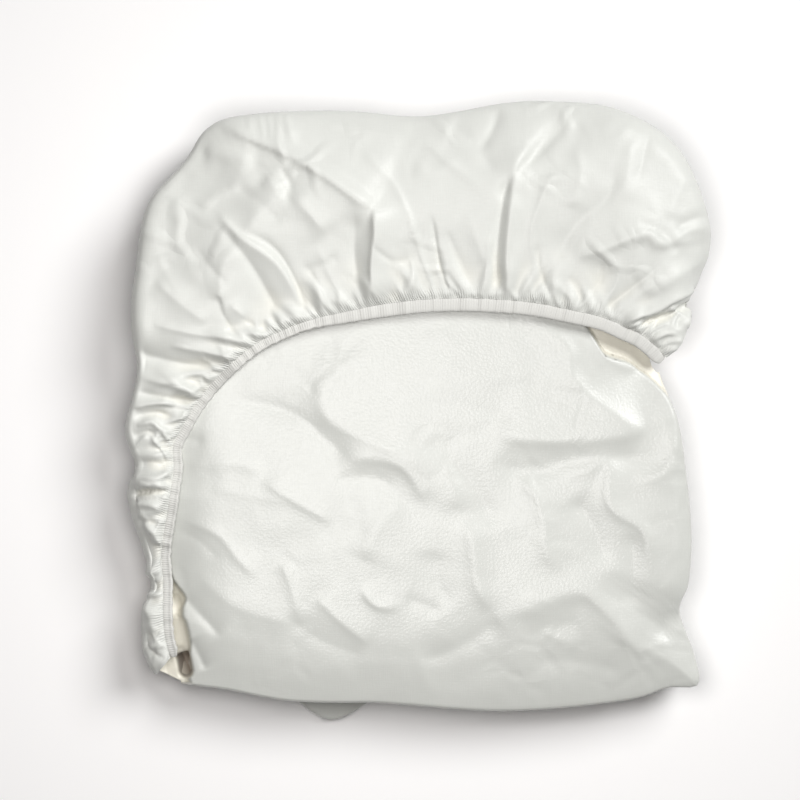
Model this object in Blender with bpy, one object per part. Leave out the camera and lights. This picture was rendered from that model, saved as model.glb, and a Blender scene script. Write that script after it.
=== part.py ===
"""A cot's fitted sheet, folded back and forth into a pile on a table.

One strip of cloth makes the pile. Its section starts at the elastic edge on top, runs out over
the far and left rims, comes back as the wide upper panel, turns under at the front and right,
and goes on back and forth to the bottom layer, which lies flat. The elastic is a gathered band
sewn along the free edge of the turned-over wall.

Metres, +Z up. +Y points to the far rim. The origin is under the pile's centre, on the table.
"""

import math
from collections import namedtuple

import bmesh
import bpy
import numpy as np

MM = 0.001

# Driving dimensions, in metres
CLOTH_THICKNESS = 1.6 * MM
HIDDEN_LAYERS = 6  # the layers under the upper panel
RIM_PITCH = 4.6 * MM  # from one layer to the next at the folded rims
LAYER_CROWN = 1.3 * MM  # how much further apart the layers stand inside the pile
PANEL_CROWN = 6.0 * MM  # how much more the upper panel swells over the layers under it
RIM_OPENING = 10.0 * MM  # from the upper panel to the turned-over wall, at the rim
END_OPENING = 0.6  # the share of it at the strip's two ends
HEM_LIFT = 5.4 * MM  # the same at the elastic edge
WALL_PUFF = 4.5 * MM  # how much the wall swells between the rim and the elastic
CREASE_AT_RIM, CREASE_AT_HEM = 0.4, 0.3  # how much of the wall's creases is left at its ends
PUFF_LENGTH = 60 * MM  # a wall shorter than this swells less
LEAST_PUFF = 0.1  # the share that the shortest keeps
NARROW_BAND = 6.4 * MM  # the elastic's width along the left
WIDE_BAND = 8.8 * MM  # and along the far side, where it lies flat
NARROW_UNTIL, WIDE_FROM = 11.5, 14.5  # the sections between which it widens
BAND_THICKNESS = 3.0 * MM
BAND_CORNERS = 6  # of its cross-section
RIB_PITCH = 3.9 * MM  # one gather of the elastic band to the next
HOLLOW_SHARE = 0.72  # the band's thickness between two ribs, as a share of that on one
CLEARANCE = 0.4 * MM  # between the band and the cloth that it is sewn to

# How far in from the rim and from the front the crown reaches its full height
WALL_SLOPE = 55 * MM
FRONT_SLOPE = 70 * MM

# Sections over which things change
OPENING_STARTS, OPENING_GROWS, OPENING_CLOSES = 3, 3, 2
DIRECTION_SPAN = 0.8  # an outline's direction is read this far each way, across its notches

# Mesh steps
FINE_COLUMNS = 48  # sections across the wall and the upper panel
COARSE_COLUMNS = 24  # sections across the layers under them
BOW_PEAK = 6.75  # brings share * share * (1 - share) to 1 at its highest
WALL_ROWS = 9
PANEL_ROWS = 16
RIM_STEPS = 5
UPPER_ROWS = (0.0, 0.04, 0.1, 0.2, 0.35, 0.65, 0.8, 0.9, 0.96, 1.0)  # next under the panel
HIDDEN_ROWS = (0.0, 0.12, 0.36, 0.64, 0.88, 1.0)  # of the other layers
HIDDEN_FOLD_STEPS = 4

# Each row is a section through the pile, from the opening at the near left corner, round the
# left and far rims, to the end of the elastic on the right: where it crosses the rim, the
# elastic edge and the front or right fold, and how far it bows left to pass the notch beside
# the end of the elastic. Millimetres from the pile's centre.
Section = namedtuple("Section", "rim_x rim_y hem_x hem_y front_x front_y bow")
SECTIONS = (
    Section(-159, -160, -146, -149, -143, -167, 0),
    Section(-166, -144, -149, -136, -116, -170, 0),
    Section(-166, -122, -150, -121, -96, -174, 0),
    Section(-161, -108, -150, -105, -77, -177, 0),
    Section(-164, -91, -151, -86, -53, -178, 0),
    Section(-175, -53, -147, -61, -26, -178, 0),
    Section(-170, -34, -143, -36, 1, -180, 0),
    Section(-176, -13, -137, -10, 25, -182, 0),
    Section(-169, 18, -123, 11, 49, -183, 0),
    Section(-169, 47, -107, 27, 76, -182, 0),
    Section(-167, 76, -94, 37, 107, -179, 0),
    Section(-160, 121, -80, 44, 133, -175, 0),
    Section(-139, 149, -64, 50, 150, -169, 0),
    Section(-123, 169, -45, 54, 169, -167, 0),
    Section(-86, 177, -23, 58, 167, -148, 0),
    Section(-42, 179, 1, 61, 158, -122, 1),
    Section(2, 176, 25, 62, 163, -106, 4),
    Section(52, 184, 50, 61, 165, -83, 9),
    Section(80, 185, 70, 59, 164, -60, 17),
    Section(118, 180, 90, 55, 161, -34, 25),
    Section(154, 158, 108, 51, 159, -19, 30),
    Section(173, 117, 122, 45, 156, -5, 29),
    Section(176, 96, 131, 41, 152, 5, 22),
    Section(171, 79, 139, 35, 149, 13, 15),
    Section(165, 61, 146, 28, 146, 22, 9),
)
LAST = len(SECTIONS) - 1

# Soft ridges (rise over 0) and troughs (rise under 0) in the upper panel, from start to end
Crease = namedtuple("Crease", "start_x start_y end_x end_y width rise")
PANEL_CREASES = (
    Crease(104, 42, 158, -12, 10, -5.0),  # the hollow under the end of the elastic
    Crease(98, 26, 146, -20, 12, 3.5),
    Crease(-146, -108, -145, -168, 9, -8.5),  # the gap at the near left corner
    Crease(-128, -100, -126, -160, 12, 2.5),
    Crease(-60, 20, 40, -20, 14, 2.6),
    Crease(-70, -28, 30, -66, 14, -2.8),
    Crease(46, 20, 104, -46, 10, 3.2),
    Crease(104, -46, 152, -38, 10, 2.6),
    Crease(20, -60, 118, -64, 16, -3.4),
    Crease(-10, -96, 60, -130, 14, -2.6),
    Crease(62, -106, 142, -156, 10, 3.6),
    Crease(90, -80, 104, -140, 14, -3.0),
    Crease(-110, -60, -40, -110, 12, 2.2),
)

# The same in the turned-over wall. The first five make the sewn corner and the fold under it.
WALL_CREASES = (
    Crease(-112, 171, -18, 128, 9, 5.0),
    Crease(-112, 152, -36, 112, 11, -5.0),
    Crease(-18, 124, -20, 74, 8, 5.0),
    Crease(-35, 112, -36, 72, 8, -5.5),
    Crease(-92, 134, -84, 126, 12, 5.0),
    Crease(-118, 118, -62, 62, 9, 5.0),
    Crease(-98, 118, -50, 66, 7, -4.5),
    Crease(-134, 100, -92, 52, 10, -3.0),
    Crease(52, 148, 51, 72, 7, -7.0),
    Crease(36, 150, 34, 76, 8, 4.5),
    Crease(70, 150, 66, 76, 9, 5.0),
    Crease(0, 150, 8, 74, 9, 4.0),
    Crease(134, 106, 88, 84, 10, 4.5),
    Crease(150, 132, 118, 84, 12, -3.0),
    Crease(168, 72, 132, 54, 7, -4.0),
    Crease(-172, -130, -156, -130, 9, 2.5),
    Crease(-172, -62, -150, -66, 9, 3.0),
    Crease(-168, -44, -146, -46, 6, -3.0),
    Crease(-176, -22, -142, -26, 9, 3.0),
    Crease(-172, 4, -130, -4, 8, -3.0),
    Crease(-170, 24, -122, 12, 9, 3.0),
    Crease(-168, 44, -112, 22, 8, -3.0),
    Crease(-166, 66, -104, 36, 10, 3.0),
)

# The folds of the hidden layers, from the top: how far each is drawn in from the pile's outline,
# how its edge wanders, and between which sections it runs. They turn at the front and at the
# rim by turns.
Fold = namedtuple("Fold", "inset wander waves phase first last")
HIDDEN_FOLDS = (
    Fold(0.0, 0.0, 3.0, 0.0, 0.0, 24.0),  # the upper panel's own fold, at the front
    Fold(4.0, 1.6, 5.0, 0.6, 1.6, 22.4),
    Fold(3.0, 1.8, 4.0, 2.0, 1.8, 22.2),
    Fold(2.0, 2.0, 6.0, 3.1, 2.0, 22.2),
    Fold(5.0, 2.0, 3.5, 4.4, 1.8, 22.0),
    Fold(5.0, 2.2, 5.5, 5.2, 2.0, 22.2),
    Fold(7.0, 1.6, 4.5, 1.0, 2.2, 22.0),  # the bottom layer's own edge, tucked under
)
TONGUE_FOLD = 4  # the fold of which a loop hangs out at the front
TONGUE_SECTION, TONGUE_WIDTH, TONGUE_REACH = 4.0, 0.7, 16.0

CLOTH_COLOUR = (0.90, 0.90, 0.87, 1.0)
BAND_COLOUR = (0.86, 0.86, 0.84, 1.0)


def through(points, where):
    """A smooth curve through the points, read at fractional positions along them."""
    count = len(points)
    first = np.clip(np.floor(where).astype(int), 0, count - 2)
    part = (where - first)[:, None]
    before = points[np.maximum(first - 1, 0)]
    start, end = points[first], points[first + 1]
    after = points[np.minimum(first + 2, count - 1)]
    return 0.5 * (
        2 * start
        + (end - before) * part
        + (2 * before - 5 * start + 4 * end - after) * part**2
        + (3 * start - before - 3 * end + after) * part**3
    )


def column_of(x_name, y_name):
    """One outline of the section table, in metres."""
    return np.array([(getattr(s, x_name), getattr(s, y_name)) for s in SECTIONS], float) * MM


RIM = column_of("rim_x", "rim_y")
HEM = column_of("hem_x", "hem_y")
FRONT = column_of("front_x", "front_y")
BOW = column_of("bow", "bow")


def sideways(points, where, turn):
    """Unit vectors square to an outline. A turn of 1 gives its left, -1 its right."""
    ahead = through(points, np.minimum(where + DIRECTION_SPAN, LAST))
    behind = through(points, np.maximum(where - DIRECTION_SPAN, 0))
    along = ahead - behind
    square = np.stack((-along[:, 1], along[:, 0]), axis=1) * turn
    return square / np.linalg.norm(square, axis=1)[:, None]


def distance_to(outline, plan):
    """How far each plan point lies from an outline."""
    start, end = outline[:-1], outline[1:]
    side = end - start
    offset = plan[:, None, :] - start[None, :, :]
    share = np.clip((offset * side).sum(2) / (side * side).sum(1), 0, 1)
    return np.linalg.norm(offset - share[:, :, None] * side, axis=2).min(axis=1)


RIM_LINE = through(RIM, np.linspace(0, LAST, 4 * LAST + 1))
FRONT_LINE = through(FRONT, np.linspace(0, LAST, 4 * LAST + 1))


def ease(share):
    """Rises from 0 to 1 and levels off."""
    share = np.clip(share, 0, 1)
    return 1 - (1 - share) ** 2


def swell(plan):
    """The pile's crown over a plan point: 0 at the rims and 1 inside."""
    return ease(distance_to(RIM_LINE, plan) / WALL_SLOPE) * ease(
        distance_to(FRONT_LINE, plan) / FRONT_SLOPE
    )


def creases(plan, table):
    """The height that the ridges and troughs of a table add at each plan point."""
    rise = np.zeros(len(plan))
    for crease in table:
        start = np.array((crease.start_x, crease.start_y)) * MM
        side = np.array((crease.end_x, crease.end_y)) * MM - start
        share = (plan - start) @ side / (side @ side)
        nearest = start + np.clip(share, 0, 1)[:, None] * side
        off = np.linalg.norm(plan - nearest, axis=1) / (crease.width * MM)
        rise += crease.rise * MM * np.exp(-(off**2))
    return rise


def stack_height(plan):
    """From the bottom layer to the upper panel, without creases."""
    return HIDDEN_LAYERS * (RIM_PITCH + LAYER_CROWN * swell(plan)) + PANEL_CROWN * swell(plan)


def layer_height(plan, below):
    """Mid-height of a layer with so many below it. They share the upper panel's creases."""
    crown = swell(plan)
    height = below * (RIM_PITCH + LAYER_CROWN * crown)
    if below == HIDDEN_LAYERS:
        height = stack_height(plan)
    squeeze = 1 + creases(plan, PANEL_CREASES) / stack_height(plan)
    return CLOTH_THICKNESS / 2 + height * squeeze


def panel_height(plan):
    """Mid-height of the upper panel."""
    return layer_height(plan, HIDDEN_LAYERS)


def wall_base(plan):
    """What the turned-over wall stands over: it bridges the upper panel's troughs."""
    return CLOTH_THICKNESS / 2 + stack_height(plan) + np.maximum(creases(plan, PANEL_CREASES), 0)


def drawn_in(where, fold):
    """How far a hidden fold lies inside the outline at each section."""
    wave = np.sin(fold.waves * math.pi * where / LAST * 2 + fold.phase)
    inset = fold.inset + fold.wander * (1 + wave)
    if fold is HIDDEN_FOLDS[TONGUE_FOLD]:
        off = (where - TONGUE_SECTION) / TONGUE_WIDTH
        inset = inset - TONGUE_REACH * np.exp(-(off**2))
    return inset * MM


def fold_sections(columns, number):
    """The sections that a hidden fold's columns stand at."""
    fold = HIDDEN_FOLDS[number]
    return fold.first + (fold.last - fold.first) * columns / LAST


def fold_line(columns, number):
    """Where the hidden fold of this number starts to turn, in plan, and its outward direction."""
    where = fold_sections(columns, number)
    outline, turn = (FRONT, -1) if number % 2 == 0 else (RIM, 1)
    out = sideways(outline, where, turn)
    inset = drawn_in(where, HIDDEN_FOLDS[number]) + RIM_PITCH / 2 + CLOTH_THICKNESS / 2
    return through(outline, where) - out * inset[:, None], out


def bow_at(columns, number):
    """How far the rows bow left at a hidden fold."""
    return through(BOW, fold_sections(columns, number))[:, 0]


def across(rim, front, share, bow):
    """The plan of a row between the two outlines, share 0 at the rim and 1 at the front."""
    plan = rim + (front - rim) * share
    plan[:, 0] -= bow * BOW_PEAK * share * share * (1 - share)
    return plan


def rim_opening(where):
    """The height between the upper panel and the wall at the rim: less at the strip's ends."""
    grown = np.clip((where - OPENING_STARTS) / OPENING_GROWS, 0, 1)
    left = np.clip((LAST - where) / OPENING_CLOSES, 0, 1)
    return RIM_OPENING * (END_OPENING + (1 - END_OPENING) * np.minimum(grown, left))


def turn_rows(start, end, outward, reach, steps):
    """The rows between two layers: half an ellipse that bulges outwards by reach."""
    rows = []
    for step in range(1, steps):
        share = step / steps
        angle = math.pi * (0.5 - share)
        row = start + (end - start) * share
        row[:, :2] += outward * reach * math.cos(angle)
        middle = (start[:, 2] + end[:, 2]) / 2
        row[:, 2] = middle + (start[:, 2] - end[:, 2]) / 2 * math.sin(angle)
        rows.append(row)
    return rows


def with_height(plan, height):
    """Plan points and their heights as one array."""
    return np.column_stack((plan, height))


def band_width(where):
    """The elastic's width at each section: it is stretched thinner along the left."""
    share = np.clip((where - NARROW_UNTIL) / (WIDE_FROM - NARROW_UNTIL), 0, 1)
    return NARROW_BAND + (WIDE_BAND - NARROW_BAND) * share * share * (3 - 2 * share)


def wall_edge(where):
    """Plan of the wall's free edge, where the elastic is sewn on."""
    reach = band_width(where) / 2 + CLEARANCE
    return through(HEM, where) + sideways(HEM, where, 1) * reach[:, None]


def wall_rows(where, rim_start):
    """The turned-over wall, from the elastic edge to the rim."""
    edge = wall_edge(where)
    length = np.linalg.norm(rim_start - edge, axis=1)
    puff = WALL_PUFF * np.clip(length / PUFF_LENGTH, LEAST_PUFF, 1)
    rows = []
    for step in range(WALL_ROWS + 1):
        share = 1 - step / WALL_ROWS
        plan = rim_start + (edge - rim_start) * share
        drop = share * share * (3 - 2 * share)
        lift = rim_opening(where) * (1 - drop) + HEM_LIFT * drop
        lift = lift + puff * math.sin(math.pi * share) ** 2
        fold = creases(plan, WALL_CREASES) * (CREASE_AT_RIM + (1 - CREASE_AT_RIM) * share)
        fold *= 1 - (1 - CREASE_AT_HEM) * share**4
        rows.append(with_height(plan, wall_base(plan) + lift + fold))
    return rows


def cloth_rows():
    """The mid-surface of the whole strip, row by row. Rows hold fine or coarse columns."""
    fine = np.linspace(0, LAST, FINE_COLUMNS + 1)
    skip = FINE_COLUMNS // COARSE_COLUMNS
    coarse = fine[::skip]
    rim_out = sideways(RIM, fine, 1)
    reach = rim_opening(fine)[:, None] / 2
    rim_start = through(RIM, fine) - rim_out * (reach + CLOTH_THICKNESS / 2)
    rows = wall_rows(fine, rim_start)
    panel_start = with_height(rim_start, panel_height(rim_start))
    rows += turn_rows(rows[-1], panel_start, rim_out, reach, RIM_STEPS)
    front_start = fold_line(fine, 0)[0]
    bow = through(BOW, fine)[:, 0]
    for step in range(PANEL_ROWS + 1):
        plan = across(rim_start, front_start, step / PANEL_ROWS, bow)
        rows.append(with_height(plan, panel_height(plan)))
    last = rows[-1][::skip]
    for number in range(HIDDEN_LAYERS):
        below = HIDDEN_LAYERS - 1 - number
        start, out = fold_line(coarse, number)
        end = fold_line(coarse, number + 1)[0]
        first = with_height(start, layer_height(start, below))
        rows += turn_rows(last, first, out, RIM_PITCH / 2, HIDDEN_FOLD_STEPS)
        bow = (bow_at(coarse, number) + bow_at(coarse, number + 1)) / 2
        for share in UPPER_ROWS if number == 0 else HIDDEN_ROWS:
            if number % 2 == 0:
                plan = across(end, start, 1 - share, bow)
            else:
                plan = across(start, end, share, bow)
            rows.append(with_height(plan, layer_height(plan, below)))
        last = rows[-1]
    return rows


def join_rows(mesh, upper, lower):
    """Faces between two rows of points. A row may hold twice the columns of the next."""
    if len(upper) == len(lower):
        for i in range(len(upper) - 1):
            mesh.faces.new((upper[i], upper[i + 1], lower[i + 1], lower[i]))
        return
    for i in range(len(lower) - 1):
        left, middle, right = upper[2 * i : 2 * i + 3]
        mesh.faces.new((left, middle, lower[i]))
        mesh.faces.new((middle, lower[i + 1], lower[i]))
        mesh.faces.new((middle, right, lower[i + 1]))


def object_from(mesh, name, material):
    """A scene object with this mesh and one material."""
    data = bpy.data.meshes.new(name)
    mesh.to_mesh(data)
    mesh.free()
    data.materials.append(material)
    made = bpy.data.objects.new(name, data)
    bpy.context.scene.collection.objects.link(made)
    return made


def finish_shading(made, angle):
    """Smooth faces, with edges sharper than the angle left sharp."""
    made.data.shade_smooth()
    made.data.set_sharp_from_angle(angle=math.radians(angle))


def fabric(name, colour, roughness):
    """A plain woven material."""
    material = bpy.data.materials.new(name)
    material.use_nodes = True
    shader = material.node_tree.nodes["Principled BSDF"]
    shader.inputs["Base Color"].default_value = colour
    shader.inputs["Roughness"].default_value = roughness
    shader.inputs["Metallic"].default_value = 0.0
    return material


def centred(rows):
    """The centre of the pile's box in plan."""
    points = np.vstack(rows)
    return (points.min(axis=0) + points.max(axis=0)) / 2 * (1, 1, 0)


def build_cloth(rows, material):
    """The folded sheet: one closed solid of even thickness round the mid-surface."""
    mesh = bmesh.new()
    placed = [[mesh.verts.new(point) for point in row] for row in rows]
    for upper, lower in zip(placed, placed[1:]):
        join_rows(mesh, upper, lower)
    bmesh.ops.recalc_face_normals(mesh, faces=mesh.faces)
    made = object_from(mesh, "sheet_cloth", material)
    thicken = made.modifiers.new("Thickness", "SOLIDIFY")
    thicken.thickness = CLOTH_THICKNESS
    thicken.offset = 0
    thicken.use_even_offset = False
    finish_shading(made, 60)
    return made


def spaced(line, spacing):
    """Even steps along a line, about this far apart, and how far along it each of its points is."""
    steps = np.linalg.norm(np.diff(line, axis=0), axis=1)
    length = np.concatenate(([0.0], np.cumsum(steps)))
    count = int(round(length[-1] / spacing))
    return np.linspace(0, length[-1], count + 1), length


def build_band(edge, middle, material):
    """The gathered elastic: a flat band past the wall's edge, its ribs raised in its points."""
    columns = np.linspace(0, LAST, FINE_COLUMNS + 1)
    hem = through(HEM, columns)
    step_down = wall_base(hem) - wall_base(wall_edge(columns))
    centre = with_height(hem, edge[:, 2] + step_down) - middle
    wanted, length = spaced(centre, RIB_PITCH / 2)
    read = [np.interp(wanted, length, line[:, k]) for line in (centre, edge) for k in range(3)]
    centre, edge = np.stack(read[:3], axis=1), np.stack(read[3:], axis=1)
    out = centre - edge
    along = np.gradient(centre, axis=0)
    along /= np.linalg.norm(along, axis=1)[:, None]
    out -= (out * along).sum(1)[:, None] * along
    out /= np.linalg.norm(out, axis=1)[:, None]
    up = np.cross(out, along)
    up *= np.sign(up[:, 2:])
    width = band_width(np.interp(wanted, length, columns))
    half_side = math.pi / BAND_CORNERS
    mesh = bmesh.new()
    rings = []
    for i, point in enumerate(centre):
        rib = 1.0 if i % 2 else HOLLOW_SHARE
        ring = []
        for corner in range(BAND_CORNERS):
            angle = (2 * corner + 1) * half_side
            wide = out[i] * math.cos(angle) / math.cos(half_side) * width[i] / 2
            high = up[i] * math.sin(angle) * BAND_THICKNESS / 2 * rib
            ring.append(mesh.verts.new(point + wide + high))
        rings.append(ring)
    for first, second in zip(rings, rings[1:]):
        for k in range(BAND_CORNERS):
            after = (k + 1) % BAND_CORNERS
            mesh.faces.new((first[k], first[after], second[after], second[k]))
    mesh.faces.new(rings[0])
    mesh.faces.new(rings[-1])
    bmesh.ops.recalc_face_normals(mesh, faces=mesh.faces)
    made = object_from(mesh, "elastic_edge", material)
    finish_shading(made, 40)
    return made


def main():
    """Builds both parts round the pile's centre."""
    for old in list(bpy.data.objects):
        bpy.data.objects.remove(old)
    rows = cloth_rows()
    middle = centred(rows)
    rows = [row - middle for row in rows]
    build_cloth(rows, fabric("white_cotton", CLOTH_COLOUR, 0.6))
    build_band(rows[0], middle, fabric("white_elastic", BAND_COLOUR, 0.75))


main()
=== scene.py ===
import math

import bpy
import numpy as np
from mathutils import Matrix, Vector, noise


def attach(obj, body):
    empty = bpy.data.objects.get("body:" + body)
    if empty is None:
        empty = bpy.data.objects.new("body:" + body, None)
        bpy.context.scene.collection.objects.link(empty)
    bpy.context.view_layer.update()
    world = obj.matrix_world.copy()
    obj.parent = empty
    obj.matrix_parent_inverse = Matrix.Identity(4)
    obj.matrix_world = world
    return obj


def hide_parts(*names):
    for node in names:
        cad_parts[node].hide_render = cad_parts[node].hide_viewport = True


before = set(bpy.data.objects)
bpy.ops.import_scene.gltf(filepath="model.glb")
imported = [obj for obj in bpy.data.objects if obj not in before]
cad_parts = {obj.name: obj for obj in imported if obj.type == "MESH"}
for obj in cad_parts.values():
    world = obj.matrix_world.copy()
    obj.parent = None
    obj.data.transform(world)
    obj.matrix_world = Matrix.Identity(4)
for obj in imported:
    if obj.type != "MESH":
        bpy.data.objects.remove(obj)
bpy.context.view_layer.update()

# A cot's fitted sheet, folded into a pile and seen from straight above.
# Lengths are in millimetres until a mesh is made. In plan, x runs right and y up in the picture.
mm = 0.001
scene = bpy.context.scene

pile = {
    "middle": (0.0, 1.03),       # the plan point that stands over the origin
    "thread": 0.8,               # half the cloth's thickness, which lifts it off the table
    "layers": 8,                 # under the upper panel
    "pitch": 3.45,               # from one layer to the next at the folds
    "crown": 0.98,               # and how much more inside the pile
    "panelCrown": 6.0,           # how much the upper panel swells over them
    "wallSlope": 55.0,           # how far in from the rims the crown is full
    "frontSlope": 58.0,          # and how far in from the front
    "frontShare": 0.42,          # of the crown is left at the front itself
}

wall = {
    "columns": 576, "rows": 56, "rimSteps": 9,
    "crowding": 1.25,            # above 1, the rows crowd beside the elastic
    "opening": 10.0,             # from the panel to the wall at the rim
    "endOpening": 0.6,           # the share of it at the strip's two ends
    "hemLift": 5.4,              # from the panel to the elastic
    "puff": 4.5, "puffLength": 60.0, "leastPuff": 0.1,  # how much it swells in between
    "narrowBand": 6.4, "wideBand": 8.8, "narrowUntil": 11.5, "wideFrom": 14.5,
    "tuck": 0.9,                 # how far the cloth laps over the elastic
    "overBand": 1.15,            # how far over the elastic's middle it lies there
    "overMore": (0.4, 3.0),      # the share that it rises by beside it, and how soon
    "roll": 1.0, "rollReach": 12.0,  # how much lower it lies at the rim, and from where
    "fat": (5.0, 12.5, 3.0),     # the sections of the fat left part, and how slowly it begins
    "shoulder": 7.0,             # how much more it opens there at the rim
    "flatter": 22.0,             # and how much less it swells farther in
    "reach": (0.5, 0.16),        # the rim's bulge for its opening, and how much less where fat
    "endBulge": 5.0, "endDrop": 4.0, "endColumns": 11.0,  # the bunched right end
    "foldShare": 0.68,           # of the heights in wallFolds
    "hold": (9.0, 0.1),          # how far off the elastic folds are full, and their share at it
    "rimFade": 0.9,              # the share of them that goes round the rim and fades
    "room": (1.0, 24.0),         # how near the panel's crown it may come, and the room over that
    "rimRoom": (-5, 80),         # the lowest and highest that the rim may go
}

panel = {
    "columns": 360, "rows": 128,
    "hiddenColumns": 100, "hiddenRows": 8, "hiddenFoldSteps": 6,
    "foldShare": 0.72,           # of the heights in panelFolds
    "room": (-2.5, 6.0),         # how far down and up it may settle
    "edgeFree": 0.5,             # how free it is beside its two held edges
}

# Sections through the pile: where each crosses the rim, the elastic and the front, and how far
# it bows left beside the end of the elastic
sections = [
    (-159, -160, -146, -149, -143, -167, 0), (-166, -144, -149, -136, -116, -170, 0),
    (-166, -122, -150, -121, -96, -174, 0), (-161, -108, -150, -105, -77, -177, 0),
    (-164, -91, -151, -86, -53, -178, 0), (-175, -53, -147, -61, -26, -178, 0),
    (-170, -34, -143, -36, 1, -180, 0), (-176, -13, -137, -10, 25, -182, 0),
    (-169, 18, -123, 11, 49, -183, 0), (-169, 47, -107, 27, 76, -182, 0),
    (-167, 76, -94, 37, 107, -179, 0), (-160, 121, -80, 44, 133, -175, 0),
    (-139, 149, -64, 50, 150, -169, 0), (-123, 169, -45, 54, 169, -167, 0),
    (-86, 177, -23, 58, 167, -148, 0), (-42, 179, 1, 61, 158, -122, 1),
    (2, 176, 25, 62, 163, -106, 4), (52, 184, 50, 61, 165, -83, 9),
    (80, 185, 70, 59, 164, -60, 17), (118, 180, 90, 55, 161, -34, 25),
    (154, 158, 108, 51, 159, -19, 30), (173, 117, 122, 45, 156, -5, 29),
    (176, 96, 131, 41, 152, 5, 22), (171, 79, 139, 35, 149, 13, 15),
    (165, 61, 146, 28, 146, 22, 9),
]
table = np.array(sections, float)
rimLine, hemLine, frontLine, bowLine = table[:, 0:2], table[:, 2:4], table[:, 4:6], table[:, 6:7]
last = len(sections) - 1

# The hidden layers' folds from the top: inset, wander, waves, phase, first and last section
hiddenFolds = [
    (0.0, 0.0, 3.0, 0.0, 0.0, 24.0), (4.0, 1.6, 5.0, 0.6, 1.6, 22.4),
    (3.0, 1.8, 4.0, 2.0, 1.8, 22.2), (2.0, 2.0, 6.0, 3.1, 2.0, 22.2),
    (3.0, 2.4, 4.5, 0.4, 1.8, 22.1), (4.0, 2.0, 5.0, 1.7, 1.7, 22.3),
    (5.0, 2.0, 3.5, 4.4, 1.8, 22.0), (5.0, 2.2, 5.5, 5.2, 2.0, 22.2),
    (7.0, 1.6, 4.5, 1.0, 2.2, 22.0),
]
tongue = {                       # the loop of cloth that peeps out at the front
    "fold": 6, "section": 4.0, "width": 1.0, "reach": 22.0,
    "columns": 25, "span": (1.6, 1.7),  # more columns there, and how far beside it
}

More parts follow.
